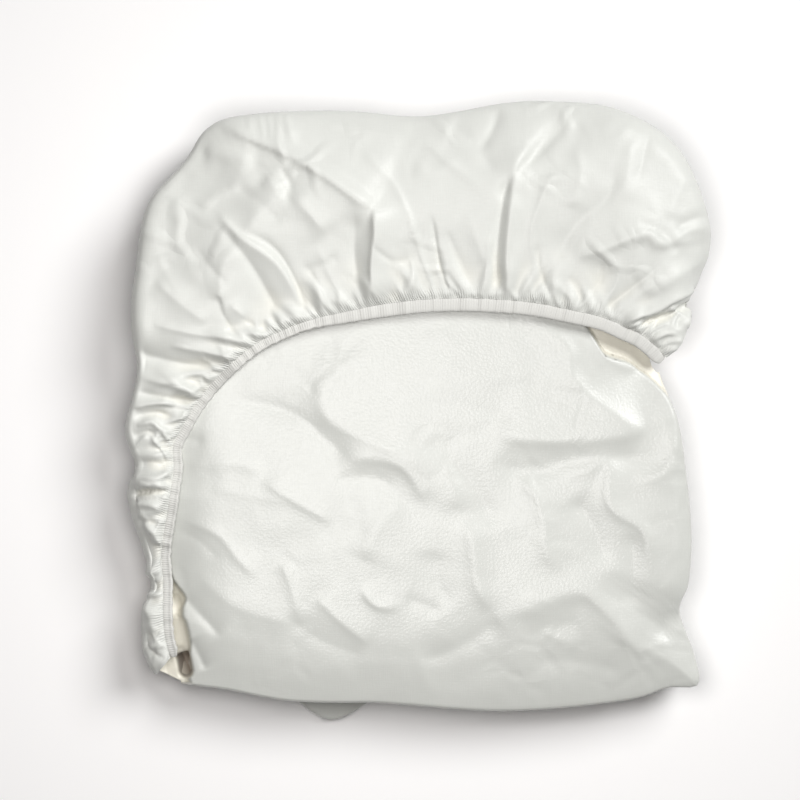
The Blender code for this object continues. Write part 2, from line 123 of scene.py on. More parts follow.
# Folds placed one by one: path, width and height. Some also say how much wider they are on
# their left, and how far they lean to it.
panelFolds = [
    # the high right side, and what slopes from it to the middle
    ([(138, 26), (150, -10), (154, -60), (152, -104), (140, -128)], 30, 8),
    # the crest round the big dent on the left, the dent and the one below it
    ([(-32, 54), (-30, 34), (-44, 26), (-56, 16), (-58, 2), (-50, -10), (-28, -20), (-8, -28),
      (5, -40), (5, -54)], 17, 2.2, 0.45),
    ([(-124, 6), (-92, 2), (-70, -6), (-52, -22), (-40, -32)], 13, -2.4),
    ([(-50, -32), (-29, -30), (-11, -34), (0, -46), (2, -58)], 13, 2.4, 0.45, -0.5),
    ([(-52, -44), (-32, -41), (-14, -46)], 8, -1.2),
    ([(14, -20), (20, -42), (24, -62)], 11, 1.8, -0.2),
    ([(2, -16), (22, -34), (38, -54), (46, -74)], 17, -2.4),
    ([(-142, -18), (-128, -20)], 6, -1.4),
    # left half
    ([(-140, -34), (-112, -33), (-92, -38)], 8, 0.9),
    ([(-125, -49), (-100, -52), (-77, -57)], 6, 0.5),
    ([(-94, -43), (-72, -57), (-50, -69)], 8, 1.3, 0.4),
    ([(-143, -66), (-120, -76), (-108, -90), (-96, -102)], 7, 1.1, 0.4),
    ([(-146, -72), (-130, -80), (-118, -92)], 5, -0.5),
    ([(-82, -92), (-76, -106), (-70, -130)], 6, 1.1, 0.2),
    ([(-9, -54), (-24, -70), (-33, -92)], 11, 1.6, 0.2),
    ([(-62, -112), (-46, -128), (-28, -142)], 11, 1.5, 0.4),
    ([(-34, -106), (-28, -116), (-20, -119), (-10, -117)], 6, 1.6, 0.4, -0.4),
    ([(-80, -124), (-56, -140), (-30, -148)], 12, -0.9),
    ([(-8, -114), (14, -121)], 9, -1.2),
    ([(-142, -112), (-130, -124), (-117, -138)], 7, -1.8, 0.2),
    ([(-137, -138), (-132, -147), (-127, -158)], 5, -1.8, 0.2),
    ([(-134, -96), (-110, -118), (-70, -130)], 16, 1.3, 0.2),
    ([(0, -152), (26, -142), (50, -126)], 12, -2),
    ([(-60, -156), (-20, -152), (20, -156)], 18, 0.6),
    # the flat glossy part under the elastic, its crests, and the valley under it
    ([(62, 52), (82, 43), (91, 34), (92, 20), (104, 6), (129, -10), (136, -14)], 13, 2.2, -0.4),
    ([(138, -12), (120, -17), (92, -19), (64, -19), (44, -15)], 15, 2.6, -0.5, 0.3),
    ([(128, 24), (145, 10), (153, -4), (154, -20), (149, -36), (138, -42),
      (126, -41)], 10, 2.7, 0.4),
    ([(150, -30), (118, -29), (90, -32), (64, -38), (44, -32)], 15, -3.3),
    ([(104, 42), (110, 33), (118, 27), (132, 22)], 4, 0.9),
    ([(92, 46), (104, 34), (112, 24)], 5, 0.5),
    ([(49, 18), (84, 8), (112, -6)], 12, -0.9),
    ([(12, 45), (34, 30)], 4, 0.3),
    ([(0, 3), (37, -1), (56, -7)], 5, -0.5),
    ([(-62, 44), (-47, 38), (-31, 32)], 4, -0.5),
    ([(6, 30), (40, 18), (70, 20)], 12, 0.9),
    # right half
    ([(74, -42), (96, -38), (113, -32), (114, -44), (116, -60), (134, -72), (138, -88),
      (138, -116)], 14, 3, 0.4, -0.5),
    ([(128, -74), (128, -98), (127, -120)], 9, -1.6),
    ([(57, -46), (68, -48), (74, -64), (76, -84), (84, -100)], 10, 2.6, 0.1),
    ([(92, -54), (104, -70), (112, -98)], 13, -2.1),
    ([(30, -64), (33, -84), (35, -104), (42, -122)], 10, 2.4, 0.1),
    ([(42, -124), (59, -122), (84, -113), (98, -110), (108, -117), (119, -128), (130, -143),
      (146, -157)], 20, 3.7, 0.4, -0.5),
    ([(62, -138), (80, -130), (98, -128)], 9, -1),
    ([(74, -134), (96, -142)], 6, 0.9),
    ([(60, -150), (96, -152), (122, -157)], 12, -1.2),
    ([(154, -128), (148, -140), (138, -150)], 5, 1.4, 0.2),
    ([(162, -122), (152, -128), (146, -140)], 6, -2),
    ([(10, -84), (12, -104), (20, -118)], 11, -1.2),
]

# Small hollows of the panel, the opening first: path, half width and depth
panelHollows = [
    ([(-142.5, -147), (-141, -151.5), (-139.8, -158)], 3.6, -20.0),
    ([(-147, -112), (-144, -122)], 3.0, -2.5),
]

# Edges where the panel drops to the layers under it on its left side: path, depth, run, and how
# far the low part reaches
panelSteps = [
    ([(-130, -180), (-136, -168), (-138, -157), (-136.5, -142), (-139, -129), (-142, -122.5),
      (-139.5, -113.5), (-147, -103), (-149.5, -93), (-149, -82)], -5.5, 2.6, 13.0),
    ([(96, 56), (103.4, 44.7), (105.8, 40.9), (109.2, 35.1), (113, 31.3), (125.4, 27.5),
      (132.2, 22.7), (138.9, 17.9), (146.5, 10.2), (152.3, 4.4), (160, -6)], -3.8, 2.2, 46.0),
]

wallFolds = [
    # the sewn corner, the thick fold under it and the pleats over it
    ([(-124, 171), (-101, 161), (-71, 147), (-38, 126), (-25, 119)], 22, 8.5, 0.15),
    ([(-122, 169), (-101, 160), (-71, 146), (-38, 125), (-25, 118)], 5, 2.8, 0.5, -1.4),
    ([(-76, 162), (-50, 142), (-35, 132), (-25, 126)], 4.8, -2.3),
    ([(-26, 124), (-25, 104), (-27, 83), (-25, 60)], 6.5, 3.2, 0.5, -1.4),
    ([(-26, 126), (-25, 104), (-27, 83), (-25, 60)], 19, 8, 0.15),
    ([(-37, 116), (-38, 92), (-33, 62)], 7.7, -2.8),
    ([(-101, 178), (-100, 168), (-97, 160)], 1.7, 1.1),
    ([(-95, 179), (-93, 168), (-91, 157)], 1.7, 1.2),
    ([(-90, 179), (-88, 167), (-88, 155)], 1.6, 1.2),
    ([(-84, 179), (-83, 166), (-83, 153)], 1.7, 1.2),
    ([(-79, 176), (-77, 165), (-73, 155)], 3.1, 1.2),
    ([(-91, 135), (-86, 131), (-81, 127)], 8.4, 3.3),
    ([(-82, 140), (-76, 133), (-79, 121)], 3.4, -2.6),
    ([(-130, 117), (-116, 128), (-93, 138)], 6.3, 1.8, 0.5, -0.8),
    ([(-128, 152), (-112, 150), (-98, 144)], 9, 3),
    ([(-74, 125), (-64, 115), (-54, 103)], 9, 3.4),
    ([(-110, 132), (-94, 122), (-80, 108)], 9, -1.8),
    # the long folds down to the elastic's bend
    ([(-119, 116), (-107, 102), (-83, 84), (-68, 57)], 5.9, 4, -0.2, 0.8),
    ([(-121, 111), (-98, 83), (-80, 49)], 7, -3.7),
    ([(-110, 105), (-84, 93), (-65, 55)], 3.9, -3),
    ([(-67, 84), (-58, 72), (-49, 56)], 2.7, -1.6),
    ([(-69, 82), (-58, 84), (-46, 91)], 1.8, -1.4),
    ([(-60, 96), (-52, 78), (-42, 58)], 7, 1.6),
    ([(-119, 67), (-116, 56), (-108, 42)], 5.3, -3),
    ([(-106, 55), (-96, 47), (-86, 44)], 3.5, -2.6),
    ([(-112, 62), (-104, 54), (-96, 40)], 5.6, 2.3),
    ([(-140, 128), (-142, 100), (-128, 70)], 14, 1.6),
    ([(-158, 112), (-152, 86), (-136, 60)], 11.2, 1.6),
    ([(-158, 148), (-171, 104), (-168, 62), (-158, 28)], 27, 9.5),
    ([(-156, 144), (-134, 166), (-104, 178)], 11, 3.6),
    ([(-156, 76), (-140, 62), (-124, 50)], 10, 2.8),
    ([(-132, 96), (-122, 82), (-112, 72)], 7, -1.6),
    # across the left wall
    ([(-170, 34), (-150, 28), (-118, 22)], 6.5, -5),
    ([(-158, 50), (-132, 44), (-108, 42)], 4, 2),
    ([(-148, 37), (-125, 33), (-104, 31)], 2.8, 2.6, 0, 0.6),
    ([(-170, 20), (-148, 14), (-136, 11), (-122, 15)], 5.5, 4),
    ([(-168, 10), (-150, 6), (-131, 5)], 2.6, -3),
    ([(-138, 10), (-134.5, 8), (-131, 6.5)], 3.2, 4.4),
    ([(-172, 0), (-155, 3.5), (-144, 2.5)], 2.4, 4.2, 0.2, -0.8),
    ([(-170, -5), (-156, -3), (-146, -6)], 4, -4.6),
    ([(-168, -11), (-159, -8), (-154, -12), (-146, -15)], 2.4, 4),
    ([(-170, -18), (-162, -14), (-156, -16)], 3, -2.4),
    ([(-159, -17), (-154, -24), (-149, -32)], 1.7, 3),
    ([(-156, -22), (-150, -34)], 1.5, -2),
    ([(-154, -13), (-149, -19), (-145, -25)], 1.5, 2.6),
    ([(-171, -27), (-166, -21), (-161, -16)], 1.5, 2),
    ([(-168, -34), (-158, -32), (-150, -36)], 4, -2),
    ([(-170, -42), (-160, -41), (-149, -44)], 6, 5.6),
    ([(-170, -48), (-158, -45.5), (-148, -47.5)], 2.2, 3.6, 0, -1.2),
    ([(-171, -53), (-165, -50), (-156, -49), (-149, -50.5), (-146, -54)], 1.9, -7),
    ([(-168, -58), (-160, -57), (-152, -61)], 4.5, 3.6),
    ([(-153, -51), (-149, -56), (-146, -62)], 1.4, 2.6),
    ([(-167, -66), (-158, -68), (-149, -66)], 2.8, -3.4),
    ([(-157, -70), (-153, -72), (-150, -75)], 3.2, 3.4),
    ([(-168, -102), (-160, -109), (-153, -112)], 3.4, -1.4),
    ([(-162, -114), (-159, -124), (-157, -136)], 8, 3.6),
    ([(-164, -138), (-158, -146), (-150, -150)], 2.2, -1.6),
    ([(-160, -133), (-154, -141), (-148, -145)], 1.6, 1.6),
    ([(-156, -126), (-151, -134), (-147, -138)], 1.5, 1.4),
    # the far side, between the corner's fold and the big fold
    ([(-27, 97), (-16, 88), (-4, 88)], 1.8, -1.9),
    ([(-4, 88), (-3, 78), (-3, 63)], 1.7, 1.6),
    ([(-36, 154), (-13, 131), (1, 94)], 4.8, 1.7),
    ([(-22, 146), (-6, 120), (6, 88)], 7, -1.1),
    ([(-76, 173), (-47, 168), (1, 158), (17, 146), (48, 121)], 3.4, 1.5, 0.4, -0.6),
    ([(18, 168), (31, 160), (46, 140)], 8.4, -2.3),
    ([(36, 154), (43, 164), (49, 180)], 6.3, -3),
    ([(7, 118), (13, 84), (20, 66)], 1.8, -2.4),
    ([(-3, 109), (2, 90), (9, 72)], 3.1, 1.4),
    ([(16, 106), (24, 88), (32, 72)], 3.4, -1.3),
    ([(42, 104), (41, 86), (36, 66)], 4.2, 1.9),
    ([(28, 116), (35, 100), (40, 84)], 8.4, 1.4),
    ([(24, 150), (10, 140), (-4, 142)], 9, 1.4),
    # the big fold and the lobe to its right
    ([(70, 158), (58, 142), (54, 112), (52, 84), (54, 66)], 9.1, 7.2, 0),
    ([(53, 140), (48, 110), (46, 84), (49, 68)], 6.4, -4.8, 0.3),
    ([(86, 172), (68, 152), (54, 134), (49, 122)], 6.5, -4.2, 0.3),
    ([(89, 171), (74, 154), (60, 141)], 3.1, -2.1),
    ([(82, 184), (86, 176), (93, 166)], 3.1, 1.3),
    ([(98, 138), (80, 137), (70, 115), (67, 101), (70, 86), (78, 64)], 4.8, 2.1),
    ([(70, 98), (72, 82), (80, 62)], 2.8, -2.6),
    ([(117, 146), (112, 125), (92, 107), (80, 84)], 9.1, -2.8),
    ([(94, 156), (96, 136), (90, 118)], 10, 2.4),
    ([(136, 163), (133, 148), (129, 132)], 5, -1.8),
    ([(126, 160), (124, 140), (120, 122)], 9.8, 1.9),
    ([(90, 88), (112, 95), (135, 103), (143, 97), (169, 101)], 8.5, 4.6, 0.45),
    ([(128, 111), (145, 103), (154, 92)], 4.2, -2.6),
    ([(100, 94), (118, 85), (117, 72), (108, 60)], 5.2, 1.8),
    ([(108, 88), (108, 76), (100, 66)], 4.5, -1.6),
    ([(146, 86), (128, 72), (107, 56)], 4, -2),
    ([(162, 84), (138, 72), (116, 56)], 9, 2),
    ([(118, 49), (131, 56), (142, 59), (153, 66), (172, 74)], 5, 5, 0.4, -1.4),
    ([(124, 45), (137, 51.5), (149, 55), (158, 60), (170, 66)], 2.6, -6),
    ([(172, 90), (154, 78), (134, 66)], 7, 1.8),
    ([(176, 107), (160, 105), (150, 98)], 3.4, 1.8),
    ([(176, 114), (162, 112), (152, 106)], 4.8, -2.1),
    ([(158, 140), (152, 124), (148, 112)], 11.2, 1.8),
    ([(96, 174), (138, 156), (162, 130), (170, 96)], 26, 8),
    # the bunched end
    ([(149, 60), (154, 58), (158, 55)], 3, 4),
    ([(168, 64), (161, 56), (160, 47)], 2, 3.6),
    ([(162, 62), (156, 55), (154, 47)], 1.6, -3.4),
    ([(132, 47), (138, 50), (144, 56)], 1.5, 2.4),
    ([(137, 43), (142, 48), (150, 51)], 1.4, 2.6),
    ([(141, 40), (147, 44), (154, 45)], 1.4, 2.6),
    ([(145, 36), (151, 40), (158, 41)], 1.4, 2.4),
    ([(148, 32), (153, 35), (158, 35)], 1.3, 2),
    ([(78, 76), (86, 70), (94, 62)], 2.6, 1.6),
    ([(88, 78), (94, 72), (98, 62)], 2.2, -1.4),
]


def through(points, where):
    # a smooth curve through the points, read at fractional positions along them
    count = len(points)
    first = np.clip(np.floor(where).astype(int), 0, count - 2)
    part = (where - first)[:, None]
    before, after = points[np.maximum(first - 1, 0)], points[np.minimum(first + 2, count - 1)]
    start, end = points[first], points[first + 1]
    return 0.5 * (2 * start + (end - before) * part
                  + (2 * before - 5 * start + 4 * end - after) * part**2
                  + (3 * start - before - 3 * end + after) * part**3)


def sideways(line, where, turn):
    # unit vectors square to an outline: to its left for a turn of 1, to its right for -1
    after, before = np.minimum(where + 0.8, last), np.maximum(where - 0.8, 0)
    along = through(line, after) - through(line, before)
    square = np.stack((-along[:, 1], along[:, 0]), axis=1) * turn
    return square / np.linalg.norm(square, axis=1)[:, None]


def smooth(share):
    share = np.clip(share, 0, 1)
    return share * share * (3 - 2 * share)


def ease(share):
    return 1 - (1 - np.clip(share, 0, 1)) ** 2


def lengthAlong(line):
    steps = np.linalg.norm(np.diff(line, axis=0), axis=1)
    return np.concatenate(([0.0], np.cumsum(steps)))


def evenColumns(lineA, lineB, count):
    # section positions, evenly spread along two outlines at once
    fine = np.linspace(0, last, 1600)
    length = lengthAlong(through(lineA, fine)) + lengthAlong(through(lineB, fine))
    return np.interp(np.linspace(0, length[-1], count + 1), length, fine)


def nearLine(line, plan):
    # distance to a line, the signed distance to its left, and how far along it that is
    side = np.diff(line, axis=0)
    square = (side * side).sum(1)
    best = np.full(len(plan), 1e9)
    left, along = np.zeros(len(plan)), np.zeros(len(plan))
    facing = np.zeros((len(plan), 2))
    for i in range(len(side)):
        off = plan - line[i]
        share = np.clip(off @ side[i] / square[i], 0, 1)
        gap = off - share[:, None] * side[i]
        far = np.hypot(gap[:, 0], gap[:, 1])
        closer = far < best
        normal = np.array((-side[i, 1], side[i, 0])) / math.sqrt(square[i])
        best[closer] = far[closer]
        left[closer] = (off @ normal)[closer]
        along[closer] = (i + share[closer]) / len(side)
        facing[closer] = normal
    return best, left, along, facing


crease = {                       # the section of every fold in the two lists
    "steep": 1.6, "round": 0.012, "top": 0.11,
    "ends": 0.24,                # the share of its length over which each end fades
    "reach": 4,                  # widths after which it ends
}


def curve(path, count):
    return through(np.array(path, float), np.linspace(0, len(path) - 1, count))


def foldRelief(plan, folds, share=1.0):
    # the height and the sideways lean that a list of folds adds at each plan point
    rise, lean = np.zeros(len(plan)), np.zeros((len(plan), 2))
    for path, width, height, *shape in folds:
        skew, push = (shape + [0, 0])[:2]
        line = curve(path, 5 * (len(path) - 1) + 1)
        reach = crease["reach"] * width * (1 + abs(skew))
        near = ((plan > line.min(0) - reach) & (plan < line.max(0) + reach)).all(1).nonzero()[0]
        if not len(near):
            continue
        far, left, along, facing = nearLine(line, plan[near])
        off = far / (width * np.where(left > 0, 1 + skew, 1 - skew))
        crest = np.exp(-crease["steep"] * (np.sqrt(off * off + crease["round"]) - crease["top"]))
        crest *= smooth(along / crease["ends"]) * smooth((1 - along) / crease["ends"])
        rise[near] += height * share * crest
        lean[near] += facing * (push * crest)[:, None]
    return rise, lean


def hollowRelief(plan, hollows):
    rise = np.zeros(len(plan))
    for path, width, depth in hollows:
        far, left, along, facing = nearLine(curve(path, 5 * len(path)), plan)
        rise += depth * np.exp(-((far / width) ** 4)) * smooth(along / 0.3 + 0.15)
    return rise


def dropRelief(plan):
    # the hollows and the edges of the panel
    rise = hollowRelief(plan, panelHollows)
    for path, depth, run, reach in panelSteps:
        far, left, along, facing = nearLine(curve(path, 6 * len(path)), plan)
        low = smooth(np.where(left > 0, far, -far) / run + 0.3) * (1 - smooth((far - reach) / 9))
        rise += depth * low * (left > -run) * smooth(along / 0.08) * smooth((1 - along) / 0.16)
    return rise


crumple = {                      # height and size of wide and of small swells, and a seed
    "wall": (0.55, 26.0, 0.22, 9.0, 1), "panel": (0.5, 34.0, 0.13, 11.0, 20),
    "warp": (12, 40),            # how far they are bent aside, and over what length
}


def crumpleAt(plan, setting):
    # low uneven swells, so that no stretch of cloth is quite flat
    high, size, fineHigh, fineSize, seed = setting
    aside, over = crumple["warp"]
    rise = np.zeros(len(plan))
    for i, (x, y) in enumerate(plan):
        warp = noise.noise(Vector((x / over, y / over, seed + 5))) * aside
        rise[i] = (high * noise.noise(Vector(((x + warp) / size, (y - warp) / size, seed)))
                   + fineHigh * noise.noise(Vector(((x - warp) / fineSize, y / fineSize,
                                                    seed + 9))))
    return rise


rimFine = through(rimLine, np.linspace(0, last, 4 * last + 1))
frontFine = through(frontLine, np.linspace(0, last, 4 * last + 1))


def swell(plan):
    # the pile's crown: 0 at the rims and 1 inside
    return (ease(nearLine(rimFine, plan)[0] / pile["wallSlope"])
            * (pile["frontShare"] + (1 - pile["frontShare"])
               * ease(nearLine(frontFine, plan)[0] / pile["frontSlope"])))


def stackHeight(crown):
    return pile["layers"] * (pile["pitch"] + pile["crown"] * crown) + pile["panelCrown"] * crown


def layerHeight(plan, below, dropped=True):
    # mid-height of a layer with so many below it: all of them share the panel's creases
    crown = swell(plan)
    height = below * (pile["pitch"] + pile["crown"] * crown)
    if below == pile["layers"]:
        height = stackHeight(crown)
    relief = foldRelief(plan, panelFolds, panel["foldShare"])[0]
    if dropped:
        relief = relief + dropRelief(plan)
    return pile["thread"] + height * (1 + relief / stackHeight(crown))


def wallBase(plan):
    # what the turned-over wall stands over
    return pile["thread"] + stackHeight(swell(plan))


def hemPoint(where):
    # the elastic's line, with the kink on its left
    section, out, width = band["kink"]
    aside = out * np.exp(-(((where - section) / width) ** 2))
    return through(hemLine, where) + sideways(hemLine, where, 1) * aside[:, None]


def rimPuff(where):
    # 1 where the left part is fat
    start, stop, fade = wall["fat"]
    return smooth((where - start) / fade) * (1 - smooth((where - stop) / fade))


def rimOpening(where):
    grown, left = np.clip((where - 3) / 3, 0, 1), np.clip((last - where) / 2, 0, 1)
    share = wall["endOpening"] + (1 - wall["endOpening"]) * np.minimum(grown, left)
    return wall["opening"] * share + wall["shoulder"] * rimPuff(where)


def rimEdge(where):
    # where the wall begins to turn round the rim, its outward direction and how far it bulges
    full, less = wall["reach"]
    out = sideways(rimLine, where, 1)
    reach = np.minimum(rimOpening(where), wall["opening"]) * (full - less * rimPuff(where))
    reach = reach[:, None]
    return through(rimLine, where) - out * (reach + pile["thread"]), out, reach


def bandWidth(where):
    share = smooth((where - wall["narrowUntil"]) / (wall["wideFrom"] - wall["narrowUntil"]))
    return wall["narrowBand"] + (wall["wideBand"] - wall["narrowBand"]) * share


def foldLine(columns, number):
    # where a hidden fold starts to turn, and its outward direction
    inset, wander, waves, phase, first, final = hiddenFolds[number]
    where = first + (final - first) * columns / last
    outline, turn = (frontLine, -1) if number % 2 == 0 else (rimLine, 1)
    out = sideways(outline, where, turn)
    drawn = inset + wander * (1 + np.sin(waves * math.pi * where / last * 2 + phase))
    if number == tongue["fold"]:
        drawn -= tongue["reach"] * np.exp(-(((where - tongue["section"]) / tongue["width"]) ** 2))
    drawn = drawn + pile["pitch"] / 2 + pile["thread"]
    return through(outline, where) - out * drawn[:, None], out, through(bowLine, where)[:, 0]


def across(start, end, share, bow):
    plan = start + (end - start) * share
    plan[:, 0] -= bow * 6.75 * share * share * (1 - share)  # 6.75 makes its highest value 1
    return plan


def rimRows(start, end, slope, outward, reach, steps):
    # the rows round the rim, which leave the wall along its own slope
    handle = reach * 4 / 3
    flat = np.column_stack((outward, np.zeros(len(outward))))
    first, second = start + slope * handle, end + flat * handle
    rows = []
    for step in range(1, steps):
        share = step / steps
        rest = 1 - share
        rows.append(start * rest**3 + first * (3 * rest * rest * share)
                    + second * (3 * rest * share * share) + end * share**3)
    return rows


def turnRows(start, end, outward, reach, steps):
    # the rows between two layers: half an ellipse that bulges outwards
    rows = []
    for step in range(1, steps):
        share = step / steps
        angle = math.pi * (0.5 - share)
        row = start + (end - start) * share
        row[:, :2] += outward * (reach * math.cos(angle))
        middle = (start[:, 2] + end[:, 2]) / 2
        row[:, 2] = middle + (start[:, 2] - end[:, 2]) / 2 * math.sin(angle)
        rows.append(row)
    return rows


# The gathers that start at the elastic, in families from fine to coarse: pitch, length, height
gathers = {
    "seed": 7,
    "families": [(3.2, (5, 10), 0.16), (5.6, (9, 24), 1.2), (11.0, (18, 44), 2.5)],
    "tall": (0.45, 1.25), "wide": (0.2, 0.34),  # shares of the height, and of the pitch
    "jitter": 0.38,
    "slant": 0.35,
    "fan": 2.2,                  # lengths after which a pleat is twice as wide
    "stronger": [(3.0, 12.0, 1.5), (20.5, 24.0, 1.7)],  # sections where they stand higher
}


def gatherRelief(hemAt, away, where):
    # short uneven pleats that run out from the elastic and fade
    dice = np.random.default_rng(gathers["seed"])
    rise = np.zeros(away.shape)
    strong = np.ones(len(where))
    for first, final, factor in gathers["stronger"]:
        strong += (factor - 1) * smooth((where - first + 1) / 2) * smooth((final + 1 - where) / 2)
    for pitch, (short, long), height in gathers["families"]:
        spot = pitch * 0.5
        while spot < hemAt[-1]:
            length = dice.uniform(short, long)
            tall = height * dice.uniform(*gathers["tall"])
            slant = dice.normal(0, gathers["slant"])
            wide = pitch * dice.uniform(*gathers["wide"])
            near = np.abs(hemAt - spot) < 6 * pitch + length
            reach = away[:, near]
            wide = wide * (1 + reach / (gathers["fan"] * length))
            off = (hemAt[near] - spot - slant * reach) / wide
            fade = smooth(reach / (0.35 * length) + 0.25) * (1 - smooth(reach / length))
            rise[:, near] += tall * fade * np.exp(-(off**2)) * strong[near]
            spot += pitch * dice.uniform(1 - gathers["jitter"], 1 + gathers["jitter"])
    return rise


settling = {
    "levels": (8, 4, 2, 1),      # it takes every eighth row and column first, and all at last
    "steps": (60, 80, 100, 100),
    "push": (1.0, 0.6, 0.25, 0.08),  # how firmly it fights being too short
    "keep": 0.90,                # of its speed from one step to the next
    "shear": 0.35,               # stiffness of the weave's diagonals
    "bend": 0.06,                # and of the cloth over two meshes
    "even": 0.004,               # how much of each point's roughness goes at every step
    "guide": 0.02,               # how firmly it is drawn to where it began
    "ends": 0.2,                 # how free the strip's two ends are
    "fullness": 1.06, "full": 12.0,  # the wall's spare length at the elastic, and how far out
    "wall": {"spread": (3, 5), "slack": 1.012, "seed": 11, "shake": 0.5},
    "panel": {"spread": (3, 3), "slack": 1.006, "seed": 12, "shake": 0.4},
}


def evened(values, window):
    # running averages down and across
    for axis, size in enumerate(window):
        half = size // 2
        edges = [(0, 0), (0, 0)]
        edges[axis] = (half + 1, half)
        total = np.cumsum(np.pad(values, edges, mode="edge"), axis=axis)
        count = values.shape[axis]
        values = (np.take(total, range(2 * half + 1, 2 * half + 1 + count), axis)
                  - np.take(total, range(count), axis)) / (2 * half + 1)
    return values


def lengths(grid, axis, reach=1):
    first = grid[:-reach] if axis == 0 else grid[:, :-reach]
    second = grid[reach:] if axis == 0 else grid[:, reach:]
    return np.linalg.norm(second - first, axis=2)


def extraLength(base, folded, axis, window):
    # how much more cloth the folds need than the plain form, shared out evenly around them
    return evened(lengths(folded, axis) / lengths(base, axis), window)


def pairs(count, apart):
    # slices of the rows that are so far apart, in sets where no row comes twice
    for first in range(2 * apart):
        yield slice(first, count - apart, 2 * apart), slice(first + apart, count, 2 * apart)


def pull(first, second, rest, freeFirst, freeSecond, stiff, push):
    # brings pairs of points to their distance in the flat cloth: firmly together, softly apart
    side = second - first
    length = np.sqrt((side * side).sum(-1)) + 1e-6
    share = stiff * (length - rest) / (length * (freeFirst + freeSecond + 1e-6))
    side *= np.where(share < 0, share * push, share)[..., None]
    first += side * freeFirst[..., None]
    second -= side * freeSecond[..., None]


def roughness(grid):
    # how far the points around each inner point lie off it
    around = grid[:-2, 1:-1] + grid[2:, 1:-1] + grid[1:-1, :-2] + grid[1:-1, 2:]
    return around / 4 - grid[1:-1, 1:-1]


def relax(points, free, base, moreAcross, moreDown, guide, lowest, highest, push, steps):
    # moves a grid of cloth until it has its flat lengths, and buckles where it is too full
    restAcross, restDown = lengths(base, 1) * moreAcross, lengths(base, 0) * moreDown
    twoAcross = lengths(base, 1, 2) * (moreAcross[:, :-1] + moreAcross[:, 1:]) / 2
    twoDown = lengths(base, 0, 2) * (moreDown[:-1] + moreDown[1:]) / 2
    across = np.diff(base, axis=1) * moreAcross[..., None]
    down = np.diff(base, axis=0) * moreDown[..., None]
    across, down = (across[:-1] + across[1:]) / 2, (down[:, :-1] + down[:, 1:]) / 2
    falling, rising = np.linalg.norm(across + down, axis=2), np.linalg.norm(across - down, axis=2)
    plainRough = roughness(base)
    before = points.copy()
    rows, columns = points.shape[:2]
    loose = free[..., None]
    inner = np.s_[1:-1, 1:-1]

    def tie(a, b, rest, stiff, push=1.0):
        pull(points[a], points[b], rest, free[a], free[b], stiff, push)

    for step in range(steps):
        moved = points + (points - before) * settling["keep"] * loose
        before = points
        points = moved + (guide - moved) * settling["guide"] * loose
        for (a, b), (c, d) in zip(pairs(columns, 1), pairs(rows, 1)):
            tie(np.s_[:, a], np.s_[:, b], restAcross[:, a], 1.0, push)
            tie(c, d, restDown[c], 1.0, push)
            tie(np.s_[c, :-1], np.s_[d, 1:], falling[c], settling["shear"], push)
            tie(np.s_[c, 1:], np.s_[d, :-1], rising[c], settling["shear"], push)
        for (a, b), (c, d) in zip(pairs(columns, 2), pairs(rows, 2)):
            tie(np.s_[:, a], np.s_[:, b], twoAcross[:, a], settling["bend"])
            tie(c, d, twoDown[c], settling["bend"])
        points[inner] += (roughness(points) - plainRough) * (settling["even"] * loose[inner])
        height = points[..., 2]
        height[:] = np.where(free > 0, np.clip(height, lowest, highest), height)
    return points


def finer(coarse, rows, columns):
    # the same grid with more rows and columns
    for axis, count in ((0, rows), (1, columns)):
        at = np.linspace(0, coarse.shape[axis] - 1, count)
        first = np.minimum(at.astype(int), coarse.shape[axis] - 2)
        shape = [1, 1, 1]
        shape[axis] = count
        part = (at - first).reshape(shape)
        before, after = np.take(coarse, first, axis), np.take(coarse, first + 1, axis)
        coarse = before * (1 - part) + after * part
    return coarse


def settle(name, start, base, free, lowest, highest, fullness=None):
    # coarse to fine: wide folds form first, then the small ones on them
    setting, coarsest = settling[name], settling["levels"][0]
    dice = np.random.default_rng(setting["seed"])
    moved = free[::coarsest, ::coarsest, None]
    moved = dice.normal(0, setting["shake"], moved.shape[:2] + (3,)) * moved
    for level, push, steps in zip(settling["levels"], settling["push"], settling["steps"]):
        seed, plain, loose, low, high = (grid[::level, ::level]
                                         for grid in (start, base, free, lowest, highest))
        rows, columns = seed.shape[:2]
        if level < coarsest:
            moved = finer(moved, rows, columns)
        points = seed + moved
        shaped, slack = (seed, setting["slack"]) if level == coarsest else (points, 1.0)
        moreAcross, moreDown = (extraLength(plain, shaped, axis, setting["spread"]) * slack
                                for axis in (1, 0))
        if fullness is not None and level < 4:  # the spare length makes small puckers only
            moreAcross = np.maximum(moreAcross, fullness[::level, ::level][:, :columns - 1])
        points = relax(points, loose, plain, moreAcross, moreDown, seed, low, high, push, steps)
        moved = points - seed
    print(name, "settled")
    return points


def gridNormals(grid):
    # unit normals of a grid of points, pointing out of the wall's upper side
    down = np.gradient(grid, axis=0)
    along = np.gradient(grid, axis=1)
    normal = np.cross(down, along)
    return normal / np.linalg.norm(normal, axis=2)[..., None]


